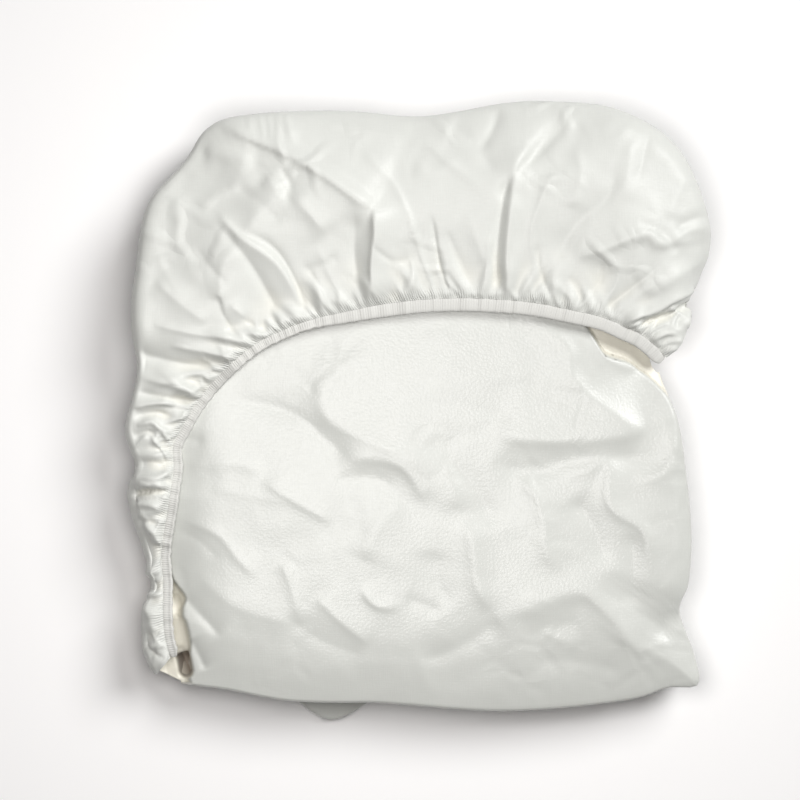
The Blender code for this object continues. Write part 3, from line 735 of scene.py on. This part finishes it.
def wallGrid(where):
    # the turned-over wall from the elastic to the rim, and round the rim to the panel
    rimStart, rimOut, reach = rimEdge(where)
    lapped = (bandWidth(where) / 2 - wall["tuck"])[:, None]
    edge = hemPoint(where) + sideways(hemLine, where, 1) * lapped
    length = np.linalg.norm(rimStart - edge, axis=1)
    puff = wall["puff"] * np.clip(length / wall["puffLength"], wall["leastPuff"], 1)
    shares = (np.arange(wall["rows"] + 1) / wall["rows"]) ** wall["crowding"]
    lastEdge = rimStart[-1] - edge[-1]
    endOut = np.array((lastEdge[1], -lastEdge[0])) / math.hypot(*lastEdge)
    nearEnd = smooth((np.arange(len(where)) - len(where) + 1) / wall["endColumns"] + 1)
    overMore, overReach = wall["overMore"]
    rows = []
    for share in shares:
        drop = smooth(1 - share) * 0.5 + (1 - share) * 0.5
        rolled = np.clip(1 - (1 - share) * length / wall["rollReach"], 0, 1)
        inside = np.clip((1 - share) * length / pile["wallSlope"], 0, 1)
        lift = (rimOpening(where) * (1 - drop) + wall["hemLift"] * drop
                + puff * math.sin(math.pi * (1 - share)) ** 2
                - wall["roll"] * rolled**2
                + wall["overBand"] * (1 + overMore * smooth(share * length / overReach))
                - wall["flatter"] * rimPuff(where) * inside * (1 - inside)
                - wall["endDrop"] * nearEnd**2 * math.sin(math.pi * min(share * 1.15, 1)))
        bulge = wall["endBulge"] * nearEnd * math.sin(math.pi * share) ** 0.8
        plan = edge + (rimStart - edge) * share + endOut * bulge[:, None]
        rows.append(np.column_stack((plan, wallBase(plan) + lift)))
    panelStart = np.column_stack((rimStart, layerHeight(rimStart, pile["layers"])))
    slope = rows[-1] - rows[-2]
    slope[:, :2] = rimOut * (slope[:, :2] * rimOut).sum(1)[:, None]
    slope /= np.linalg.norm(slope, axis=1)[:, None]
    base = np.array(rows + rimRows(rows[-1], panelStart, slope, rimOut, reach, wall["rimSteps"]))
    rimAt, turned, shape = len(rows), len(base) - len(rows), base.shape[:2]
    plan = base[:, :, :2].reshape(-1, 2)
    rise, lean = foldRelief(plan, wallFolds, wall["foldShare"])
    away = np.concatenate((shares[:, None] * length, np.repeat(length[None], turned, axis=0)))
    holdReach, held = wall["hold"]
    hold = smooth(away / holdReach) * (1 - held) + held
    fade = np.ones((len(base), 1))
    fade[rimAt:, 0] = np.linspace(wall["rimFade"], 0.0, turned)
    swells = crumpleAt(plan, crumple["wall"]).reshape(shape)
    rise = (rise.reshape(shape) * hold * fade + swells * fade
            + gatherRelief(lengthAlong(edge), away, where) * fade)
    normal = gridNormals(base)
    normal *= np.sign(normal[rimAt // 2, len(where) // 2, 2])
    grid = base + normal * rise[..., None]
    grid[:, :, :2] += lean.reshape(shape + (2,)) * (hold * fade)[..., None]
    fullness = 1 + (settling["fullness"] - 1) * (1 - smooth(away / settling["full"]))
    free = np.ones(shape)
    free[0] = 0
    free[rimAt:] = (1 - smooth(np.arange(1, turned + 1) / (turned - 1)))[:, None]
    free[:, 0] = free[:, -1] = settling["ends"]
    low = wallBase(plan).reshape(shape) + wall["room"][0]
    high = low + wall["room"][1]
    low[rimAt:], high[rimAt:] = wall["rimRoom"]
    grid = settle("wall", grid, base, free, low, high, fullness)
    lay = base[:, :, :2].copy()
    onward = np.cumsum(np.linalg.norm(np.diff(base[rimAt - 1:], axis=0), axis=2), axis=0)
    lay[rimAt:] = rimStart + rimOut * onward[..., None]
    return grid, lay, np.broadcast_to(lengthAlong(edge), shape), np.minimum(away, tints["farHem"])


def panelGrid(where):
    # the wide upper panel, from the rim to the fold at the front and right
    rimStart = rimEdge(where)[0]
    frontStart, bow = foldLine(where, 0)[::2]
    rows = [across(rimStart, frontStart, share, bow)
            for share in np.arange(panel["rows"] + 1) / panel["rows"]]
    shape, plan = np.array(rows).shape[:2] + (3,), np.vstack(rows)
    base = np.column_stack((plan, wallBase(plan))).reshape(shape)
    height = layerHeight(plan, pile["layers"], False) + crumpleAt(plan, crumple["panel"])
    grid = np.column_stack((plan + foldRelief(plan, panelFolds)[1], height)).reshape(shape)
    free = np.ones(shape[:2])
    free[0] = free[-1] = 0
    free[1] = free[-2] = panel["edgeFree"]
    free[:, 0] = free[:, -1] = settling["ends"]
    down, up = panel["room"]
    grid = settle("panel", grid, base, free, grid[..., 2] + down, grid[..., 2] + up)
    grid[..., 2] += dropRelief(grid[..., :2].reshape(-1, 2)).reshape(shape[:2])
    return grid


def hiddenRows(start, columns):
    # the layers under the panel, back and forth to the bottom
    rows = []
    previous = start
    for number in range(pile["layers"]):
        below = pile["layers"] - 1 - number
        here, out, bowHere = foldLine(columns, number)
        there, bowThere = foldLine(columns, number + 1)[::2]
        first = np.column_stack((here, layerHeight(here, below)))
        rows += turnRows(previous, first, out, pile["pitch"] / 2, panel["hiddenFoldSteps"])
        bow = (bowHere + bowThere) / 2
        for share in np.arange(panel["hiddenRows"] + 1) / panel["hiddenRows"]:
            if number % 2 == 0:
                plan = across(there, here, 1 - share, bow)
            else:
                plan = across(here, there, share, bow)
            rows.append(np.column_stack((plan, layerHeight(plan, below))))
        previous = rows[-1]
    return rows


tints = {                        # where painted warm bounce light and painted brown shade go on the cloth
    "rounds": 90, "hollow": 1.6,  # rounds of evening, and how far under that it is full
    "paintedBounceShare": 0.35, "paintedBounceUntil": 12.0, "paintedBounceFade": 26.0,  # how strong the painted warm bounce light is on the wall, how far
    "drop": 3.0, "paintedHoleShade": 12.0,   # the depths in the panel where the painted warm bounce light and the painted brown shade are full
    "farHem": 60.0,              # no gathers are reckoned farther off the elastic
}


def hollowness(grid):
    # 0 to 1 for how far a point lies below the folds round it: where the painted warm bounce light
    # goes
    height = grid[..., 2].copy()
    for turn in range(tints["rounds"]):
        height[1:-1] = (height[:-2] + 2 * height[1:-1] + height[2:]) / 4
        height[:, 1:-1] = (height[:, :-2] + 2 * height[:, 1:-1] + height[:, 2:]) / 4
    return np.clip((height - grid[..., 2]) / tints["hollow"], 0, 1)


def zipper(upper, upperAt, lower, lowerAt):
    # triangles between two rows of different column counts
    faces, i, j = [], 0, 0
    while i < len(upper) - 1 or j < len(lower) - 1:
        left = i < len(upper) - 1
        if j == len(lower) - 1 or (left and upperAt[i + 1] <= lowerAt[j + 1]):
            faces.append((upper[i], upper[i + 1], lower[j]))
            i += 1
        else:
            faces.append((upper[i], lower[j + 1], lower[j]))
            j += 1
    return faces


def inScene(name, data, location=(0, 0, 0)):
    made = bpy.data.objects.new(name, data)
    made.location = location
    scene.collection.objects.link(made)
    return made


def meshPiece(name, points, faces, material, uv, places=None):
    mesh = bpy.data.meshes.new(name)
    mesh.from_pydata(((points - (*pile["middle"], 0)) * mm).tolist(), [], faces)
    mesh.validate()
    corner = np.empty(len(mesh.loops), np.int32)
    mesh.loops.foreach_get("vertex_index", corner)
    layer = mesh.uv_layers.new(name="clothLay")
    layer.data.foreach_set("uv", (uv[corner] * mm).astype(np.float32).ravel())
    for key, values in (places or {}).items():
        attribute = mesh.attributes.new(key, "FLOAT", "POINT")
        attribute.data.foreach_set("value", values.astype(np.float32))
    mesh.shade_smooth()
    mesh.materials.append(material)
    print(name, "has", len(mesh.polygons), "faces")
    return inScene(name, mesh)


def buildCloth(material):
    wallAt = evenColumns(rimLine, hemLine, wall["columns"])
    panelAt = evenColumns(rimLine, frontLine, panel["columns"])
    hiddenAt = evenColumns(rimLine, frontLine, panel["hiddenColumns"])
    span, clear = (share * tongue["width"] for share in tongue["span"])
    beside = tongue["section"] + np.linspace(-span, span, tongue["columns"])
    hiddenAt = hiddenAt[np.abs(hiddenAt - tongue["section"]) > clear]
    hiddenAt = np.sort(np.concatenate((hiddenAt, beside)))
    upper, upperLay, alongHem, fromHem = wallGrid(wallAt)
    lower = panelGrid(panelAt)
    lastRow = np.stack([np.interp(hiddenAt, panelAt, lower[-1][:, k]) for k in range(3)], axis=1)
    zones = [(upper, wallAt, 0.0), (lower, panelAt, 1.0),
             (hiddenRows(lastRow, hiddenAt), hiddenAt, 1.0)]
    points, satins, faces = [], [], []
    count, lastIds, lastAt = 0, [], None
    for rows, at, satin in zones:
        for row in rows:
            ids = list(range(count, count + len(row)))
            count += len(row)
            if len(lastIds) == len(ids):
                faces += zip(lastIds[:-1], lastIds[1:], ids[1:], ids[:-1])
            elif lastIds:
                faces += zipper(lastIds, lastAt, ids, at)
            points.append(row)
            satins.append(np.full(len(row), satin))
            lastIds, lastAt = ids, at
    points = np.vstack(points)
    lay = points[:, :2].copy()  # the threads run straight over the pile
    lay[:fromHem.size] = upperLay.reshape(-1, 2)
    plan = points[fromHem.size:, :2]
    # painted warm bounce light: in the hollows between the gathers near the elastic, and in the
    # panel's low parts
    nearHem = 1 - smooth((fromHem - tints["paintedBounceUntil"]) / tints["paintedBounceFade"])
    paintedBounceShare = tints["paintedBounceShare"] * hollowness(upper) * nearHem
    # painted brown shade inside the opening beside the elastic's end
    paintedHoleShade = hollowRelief(plan, panelHollows[:1])
    places = {"satin": np.concatenate(satins)}
    for name, onWall, under in (
            ("alongHem", alongHem * mm, np.zeros(len(plan))),
            ("fromHem", fromHem * mm, np.full(len(plan), tints["farHem"] * mm)),
            ("paintedBounce", paintedBounceShare, -dropRelief(plan) / tints["drop"]),
            ("paintedHoleShade", np.zeros(fromHem.size), -paintedHoleShade / tints["paintedHoleShade"])):
        places[name] = np.concatenate((onWall.ravel(), np.clip(under, 0, 1)))
    return meshPiece("foldedCloth", points, faces, material, lay, places), upper[0], wallAt


band = {
    "thickness": 2.3, "sides": 22, "step": 0.3,
    "square": (0.7, 0.8),        # below 1, its section is squarer, across and up
    "ribPitchLeft": 1.3, "ribPitchRight": 1.5, "ribChange": (11, 14), "ribHeight": 0.17,
    "ribWander": 2.4, "ribSway": (0.9, 2.2),
    "lip": (0.72, 0.26, 1.0), "groove": (0.3, 0.16, 0.5),  # where across it, how wide and high
    "lipUntil": 13.0, "lipFade": 1.5,
    "wobble": 0.3, "endLength": 7.0,
    "kink": (6.45, 3.2, 0.34),   # where it bends in on the left, how far and how wide
}


def drift(along, size, row, seed):
    # a slow uneven change along a line
    return np.array([noise.noise(Vector((d / size, row, seed))) for d in along])


def buildBand(edgeRow, edgeAt, material):
    # the elastic: a flat gathered tube with fine ribs, and a rolled lip along its left part
    fine = np.linspace(0, last, 4000)
    height = np.interp(fine, edgeAt, edgeRow[:, 2]) - wall["overBand"]
    length = lengthAlong(hemPoint(fine))
    count, sides = int(length[-1] / band["step"]), band["sides"]
    wanted = np.linspace(0, length[-1], count)
    at = np.interp(wanted, length, fine)
    centre = np.column_stack((hemPoint(at), np.interp(at, fine, height)))
    along = np.gradient(centre, axis=0)
    along /= np.linalg.norm(along, axis=1)[:, None]
    outward = np.column_stack((-sideways(hemLine, at, 1), np.zeros(count)))
    outward -= (outward * along).sum(1)[:, None] * along
    outward /= np.linalg.norm(outward, axis=1)[:, None]
    up = np.cross(along, outward)
    up *= np.sign(up[:, 2:])
    pitch = np.interp(at, band["ribChange"], [band["ribPitchLeft"], band["ribPitchRight"]])
    turns = np.cumsum(band["step"] / pitch) * 2 * math.pi
    turns = turns + drift(wanted, 9, 3.0, 1.0) * band["ribWander"]
    uneven = drift(wanted, 3.1, 8.0, 2.0)
    lipShare = 1 - smooth((at - band["lipUntil"] + band["lipFade"]) / band["lipFade"])
    toEnd = np.minimum(wanted, wanted[-1] - wanted)
    rounded = 0.3 + 0.7 * ease(toEnd / band["endLength"]) ** 0.5
    tall = band["ribHeight"] * (1 + 0.6 * lipShare) * (1 + 0.7 * uneven)
    rings = []
    for k in range(sides):
        angle = 2 * math.pi * (k + 0.5) / sides
        flatCos, flatSin = (math.copysign(abs(part) ** power, part) for part, power
                            in zip((math.cos(angle), math.sin(angle)), band["square"]))
        sway = flatCos * (band["ribSway"][0] + band["ribSway"][1] * uneven)
        rib = tall * (0.5 + 0.5 * np.sin(turns + sway)) ** 0.7
        lip, groove = (np.exp(-(((flatCos - middle) / spread) ** 2)) * rise * lipShare
                       for middle, spread, rise in (band["lip"], band["groove"]))
        plainer = 1 - 0.7 * lipShare * (flatCos > 0.6)  # the lip has hardly any ribs
        high = flatSin * (band["thickness"] / 2 + rib * plainer)
        high = (high + (lip - groove) * (flatSin > 0) * abs(flatSin)) * rounded
        wide = flatCos * bandWidth(at) / 2 * (1 + (0.05 + 0.12 * lipShare) * uneven) * rounded
        rings.append(centre + outward * wide[:, None] + up * high[:, None])
    rings = np.array(rings).transpose(1, 0, 2)
    rings[:, :, 2] += (drift(wanted, 6, 1.0, 7.0) * band["wobble"])[:, None]
    ids = np.arange(count * sides).reshape(count, sides)
    faces = []
    for k in range(sides):
        after = (k + 1) % sides
        corners = (ids[:-1, k], ids[:-1, after], ids[1:, after], ids[1:, k])
        faces += np.stack(corners, axis=1).tolist()
    faces += [ids[0].tolist()[::-1], ids[-1].tolist()]
    uv = np.column_stack((np.repeat(wanted, sides), np.tile(np.arange(sides), count)))
    return meshPiece("elasticBand", rings.reshape(-1, 3), faces, material, uv)


cottonLook = {
    "panelColour": (0.625, 0.637, 0.60, 1.0), "wallColour": (0.675, 0.687, 0.65, 1.0),
    "paintedBounceColour": (0.84, 0.81, 0.70, 1.0),  # painted warm bounce light inside the folds and in the panel's low parts, standing in for light that comes through and bounces there
    "paintedHoleShadeColour": (0.30, 0.25, 0.20, 1.0),  # painted shade in the opening beside the elastic's end
    "uneven": 0.035,             # how much darker the threads and patches are in places
    "patchSize": 22.0, "patches": 0.3,  # how many a metre, and their share in that
    "roughPanel": 0.5, "roughWall": 0.6, "gloss": 0.6, "sheen": 0.15, "sheenRough": 0.5,
    "coat": 0.56, "wallCoat": 0.2, "coatRough": 0.27,  # the glossy film
    "grain": 0.00028, "grainSize": 620.0,  # the grain of its light patches
    "threads": 0.00008, "threadSize": (1500, 110),  # the slubby threads: height, how fine
    "ribPitch": 0.00135, "ribs": 0.00014, "ribWander": 14.0, "ribReach": (0.001, 0.009),
    "puckers": 0.0003, "puckerReach": 0.028,  # both run out from the elastic
    "creases": 0.0008,           # height of the fine creases left by folding
    "creaseSize": 42.0, "creaseWidth": 0.22,  # how many there are in a metre
    "creaseWarp": 0.035, "warpSize": 14.0,  # how crooked they are
    "creasePlaces": (17.0, 0.48, 0.68),  # size and limits of the spots that have them
    "panelCreases": 0.35,        # how strong they are on the panel
}


def startMaterial(name):
    # a material, a function that adds a node to it and one that fills its shader
    material = bpy.data.materials.new(name)
    material.use_nodes = True
    nodes, links = material.node_tree.nodes, material.node_tree.links

    def fill(made, inputs):
        for key, value in inputs.items():
            if isinstance(value, bpy.types.NodeSocket):
                links.new(value, made.inputs[key])
            else:
                made.inputs[key].default_value = value

    def node(kind, inputs, output, **options):
        made = nodes.new("ShaderNode" + kind)
        for option, value in options.items():
            setattr(made, option, value)
        fill(made, inputs)
        return made.outputs[output]

    return material, node, lambda inputs: fill(nodes["Principled BSDF"], inputs)


def cottonMaterial():
    look = cottonLook
    material, node, fillShader = startMaterial("whiteCotton")
    place = node("TexCoord", {}, "UV")

    def attribute(name):
        return node("Attribute", {}, "Fac", attribute_name=name)

    def noiseAt(vector, scale, detail=2.0, output="Fac"):
        return node("TexNoise", {"Vector": vector, "Scale": scale, "Detail": detail}, output)

    def streaks(x, y, vector=place):
        return noiseAt(node("Mapping", {"Vector": vector, "Scale": (x, y, 1)}, "Vector"), 1.0)

    def mixed(a, b, share, kind="FLOAT"):
        return node("Mix", {"A": a, "B": b, "Factor": share}, "Result", data_type=kind)

    def remapped(value, low, high, toLow, toHigh, kind="SMOOTHSTEP"):
        limits = {"From Min": low, "From Max": high, "To Min": toLow, "To Max": toHigh}
        return node("MapRange", {"Value": value, **limits}, "Result", interpolation_type=kind)

    def reckoned(operation, *values):
        return node("Math", dict(enumerate(values)), "Value", operation=operation)

    def times(a, b):
        return reckoned("MULTIPLY", a, b)

    def bumped(height, distance, before=None):
        inputs = {"Strength": 1.0, "Distance": distance, "Height": height}
        if before:
            inputs["Normal"] = before
        return node("Bump", inputs, "Normal")

    fine, long = look["threadSize"]
    threads = mixed(streaks(fine, long), streaks(long, fine), 0.5)  # along it and across it
    patches = noiseAt(place, look["patchSize"], 4.0)
    satin = attribute("satin")
    colour = mixed(look["wallColour"], look["panelColour"], satin, "RGBA")
    # painted warm bounce light in the hollows and the low parts
    colour = mixed(colour, look["paintedBounceColour"], attribute("paintedBounce"), "RGBA")
    # painted brown shade in the opening
    colour = mixed(colour, look["paintedHoleShadeColour"], attribute("paintedHoleShade"), "RGBA")
    shade = mixed(patches, threads, 1 - look["patches"])
    shade = remapped(shade, 0.36, 0.64, 1 - look["uneven"], 1.0)
    # fine creases: the edges of a warped net of cells, strong in some places only
    warp = noiseAt(place, look["warpSize"], 3.0, "Color")
    warped = mixed(place, warp, look["creaseWarp"], "VECTOR")
    net = node("TexVoronoi", {"Vector": warped, "Scale": look["creaseSize"]}, "Distance",
               feature="DISTANCE_TO_EDGE")
    edge = remapped(net, 0.0, look["creaseWidth"], 1.0, 0.0)
    size, low, high = look["creasePlaces"]
    where = remapped(noiseAt(place, size), low, high, 0.0, 1.0)
    share = remapped(satin, 0.0, 1.0, 1.0, look["panelCreases"])
    creased = bumped(times(times(edge, where), share), look["creases"])
    # ribs and puckers that run out from the elastic and fade
    along, away = attribute("alongHem"), attribute("fromHem")
    beside = node("CombineXYZ", {"X": along, "Y": away}, "Vector")
    wander = times(streaks(130, 160, beside), look["ribWander"])
    wave = reckoned("MULTIPLY_ADD", along, 2 * math.pi / look["ribPitch"], wander)
    ribFade = times(remapped(away, *look["ribReach"], 1.0, 0.0),
                    remapped(streaks(60, 60, beside), 0.35, 0.6, 0.3, 1.0))
    pucker = remapped(streaks(240, 22, beside), 0.3, 0.7, 0.0, 1.0)
    puckerFade = times(remapped(away, 0.0, look["puckerReach"], 1.0, 0.0),
                       remapped(streaks(45, 20, beside), 0.4, 0.65, 0.15, 1.0))
    ribbed = bumped(times(reckoned("SINE", wave), ribFade), look["ribs"], creased)
    puckered = bumped(times(pucker, puckerFade), look["puckers"], ribbed)
    fillShader({
        "Base Color": node("VectorMath", {0: colour, "Scale": shade}, "Vector", operation="SCALE"),
        "Roughness": remapped(satin, 0, 1, look["roughWall"], look["roughPanel"], "LINEAR"),
        "Coat Weight": remapped(satin, 0, 1, look["wallCoat"], look["coat"], "LINEAR"),
        "Coat Roughness": look["coatRough"], "Specular IOR Level": look["gloss"],
        "Sheen Weight": look["sheen"], "Sheen Roughness": look["sheenRough"],
        "Normal": bumped(threads, look["threads"], puckered),
        "Coat Normal": bumped(noiseAt(place, look["grainSize"], 1.0), look["grain"], puckered),
    })
    return material


elasticLook = {
    "darkColour": (0.59, 0.59, 0.56, 1.0), "paleColour": (0.65, 0.65, 0.62, 1.0),
    "rough": 0.6, "sheen": 0.1,
    "grainSize": 1500, "grain": 0.0003, "grainStrength": 0.3,
}


def elasticMaterial():
    look = elasticLook
    material, node, fillShader = startMaterial("whiteElastic")
    place = node("TexCoord", {}, "Object")
    grain = node("TexNoise", {"Vector": place, "Scale": look["grainSize"], "Detail": 2}, "Fac")
    fillShader({
        "Base Color": node("Mix", {"A": look["darkColour"], "B": look["paleColour"],
                                   "Factor": grain}, "Result", data_type="RGBA"),
        "Roughness": look["rough"], "Sheen Weight": look["sheen"],
        "Normal": node("Bump", {"Height": grain, "Strength": look["grainStrength"],
                                "Distance": look["grain"]}, "Normal"),
    })
    return material


studio = {
    "floor": (0.95, 0.945, 0.94, 1.0), "floorRough": 0.9, "floorGloss": 0.1,  # a white table
    "glow": 0.02, "glowColour": (1.0, 0.93, 0.90, 1.0),  # and the light in it
    "keyFrom": (1.55, 1.35, 2.05), "keySize": 1.6, "keyPower": 71.5,  # large, far right
    "topFrom": (-0.07, -0.02, 0.75), "topSize": 0.40, "topPower": 3.25,  # small, close above
    "topColour": (1.0, 0.975, 0.965),
    "fill": 0.02, "fillColour": (1.0, 0.96, 0.95, 1.0),
    "lens": 120.0, "sensor": 36, "frameWidth": 0.48, "focusHeight": 0.035,
    "look": (-0.0108, 0.0038),
}


def softLight(name, start, aim, size, power, colour=(1.0, 1.0, 1.0)):
    light = bpy.data.lights.new(name, "AREA")
    light.shape, light.size, light.energy, light.color = "DISK", size, power, colour
    turn = (Vector(aim) - Vector(start)).to_track_quat("-Z", "Y")
    inScene(name, light, start).rotation_euler = turn.to_euler()


def buildStudio():
    bpy.ops.object.select_all(action="DESELECT")
    bpy.ops.mesh.primitive_plane_add(size=6.0, location=(0, 0, 0))
    floor = bpy.context.object
    floor.name = "paleFloor"
    paint, node, fillShader = startMaterial("paleFloorPaint")
    fillShader({"Base Color": studio["floor"], "Roughness": studio["floorRough"],
                "Specular IOR Level": studio["floorGloss"],
                "Emission Color": studio["glowColour"], "Emission Strength": studio["glow"]})
    floor.data.materials.append(paint)
    softLight("keyLight", studio["keyFrom"], (0, 0, 0), studio["keySize"], studio["keyPower"])
    top = studio["topFrom"]
    softLight("topLight", top, (top[0], top[1] + 0.001, 0), studio["topSize"], studio["topPower"],
              studio["topColour"])
    world = bpy.data.worlds.new("softRoom")
    world.use_nodes = True
    room = world.node_tree.nodes["Background"].inputs
    room["Color"].default_value = studio["fillColour"]
    room["Strength"].default_value = studio["fill"]
    scene.world = world
    camera = bpy.data.cameras.new("topCamera")
    camera.lens, camera.sensor_width = studio["lens"], studio["sensor"]
    distance = studio["frameWidth"] * studio["lens"] / studio["sensor"]
    eye = (*studio["look"], studio["focusHeight"] + distance)
    scene.camera = inScene("topCamera", camera, eye)
    scene.view_settings.view_transform = "Standard"
    print("studio: floor, two lights, room and camera")


cloth, hemRow, hemAt = buildCloth(cottonMaterial())
elastic = buildBand(hemRow, hemAt, elasticMaterial())
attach(cloth, "root")
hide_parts("sheet_cloth")
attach(elastic, "root")
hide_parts("elastic_edge")
buildStudio()
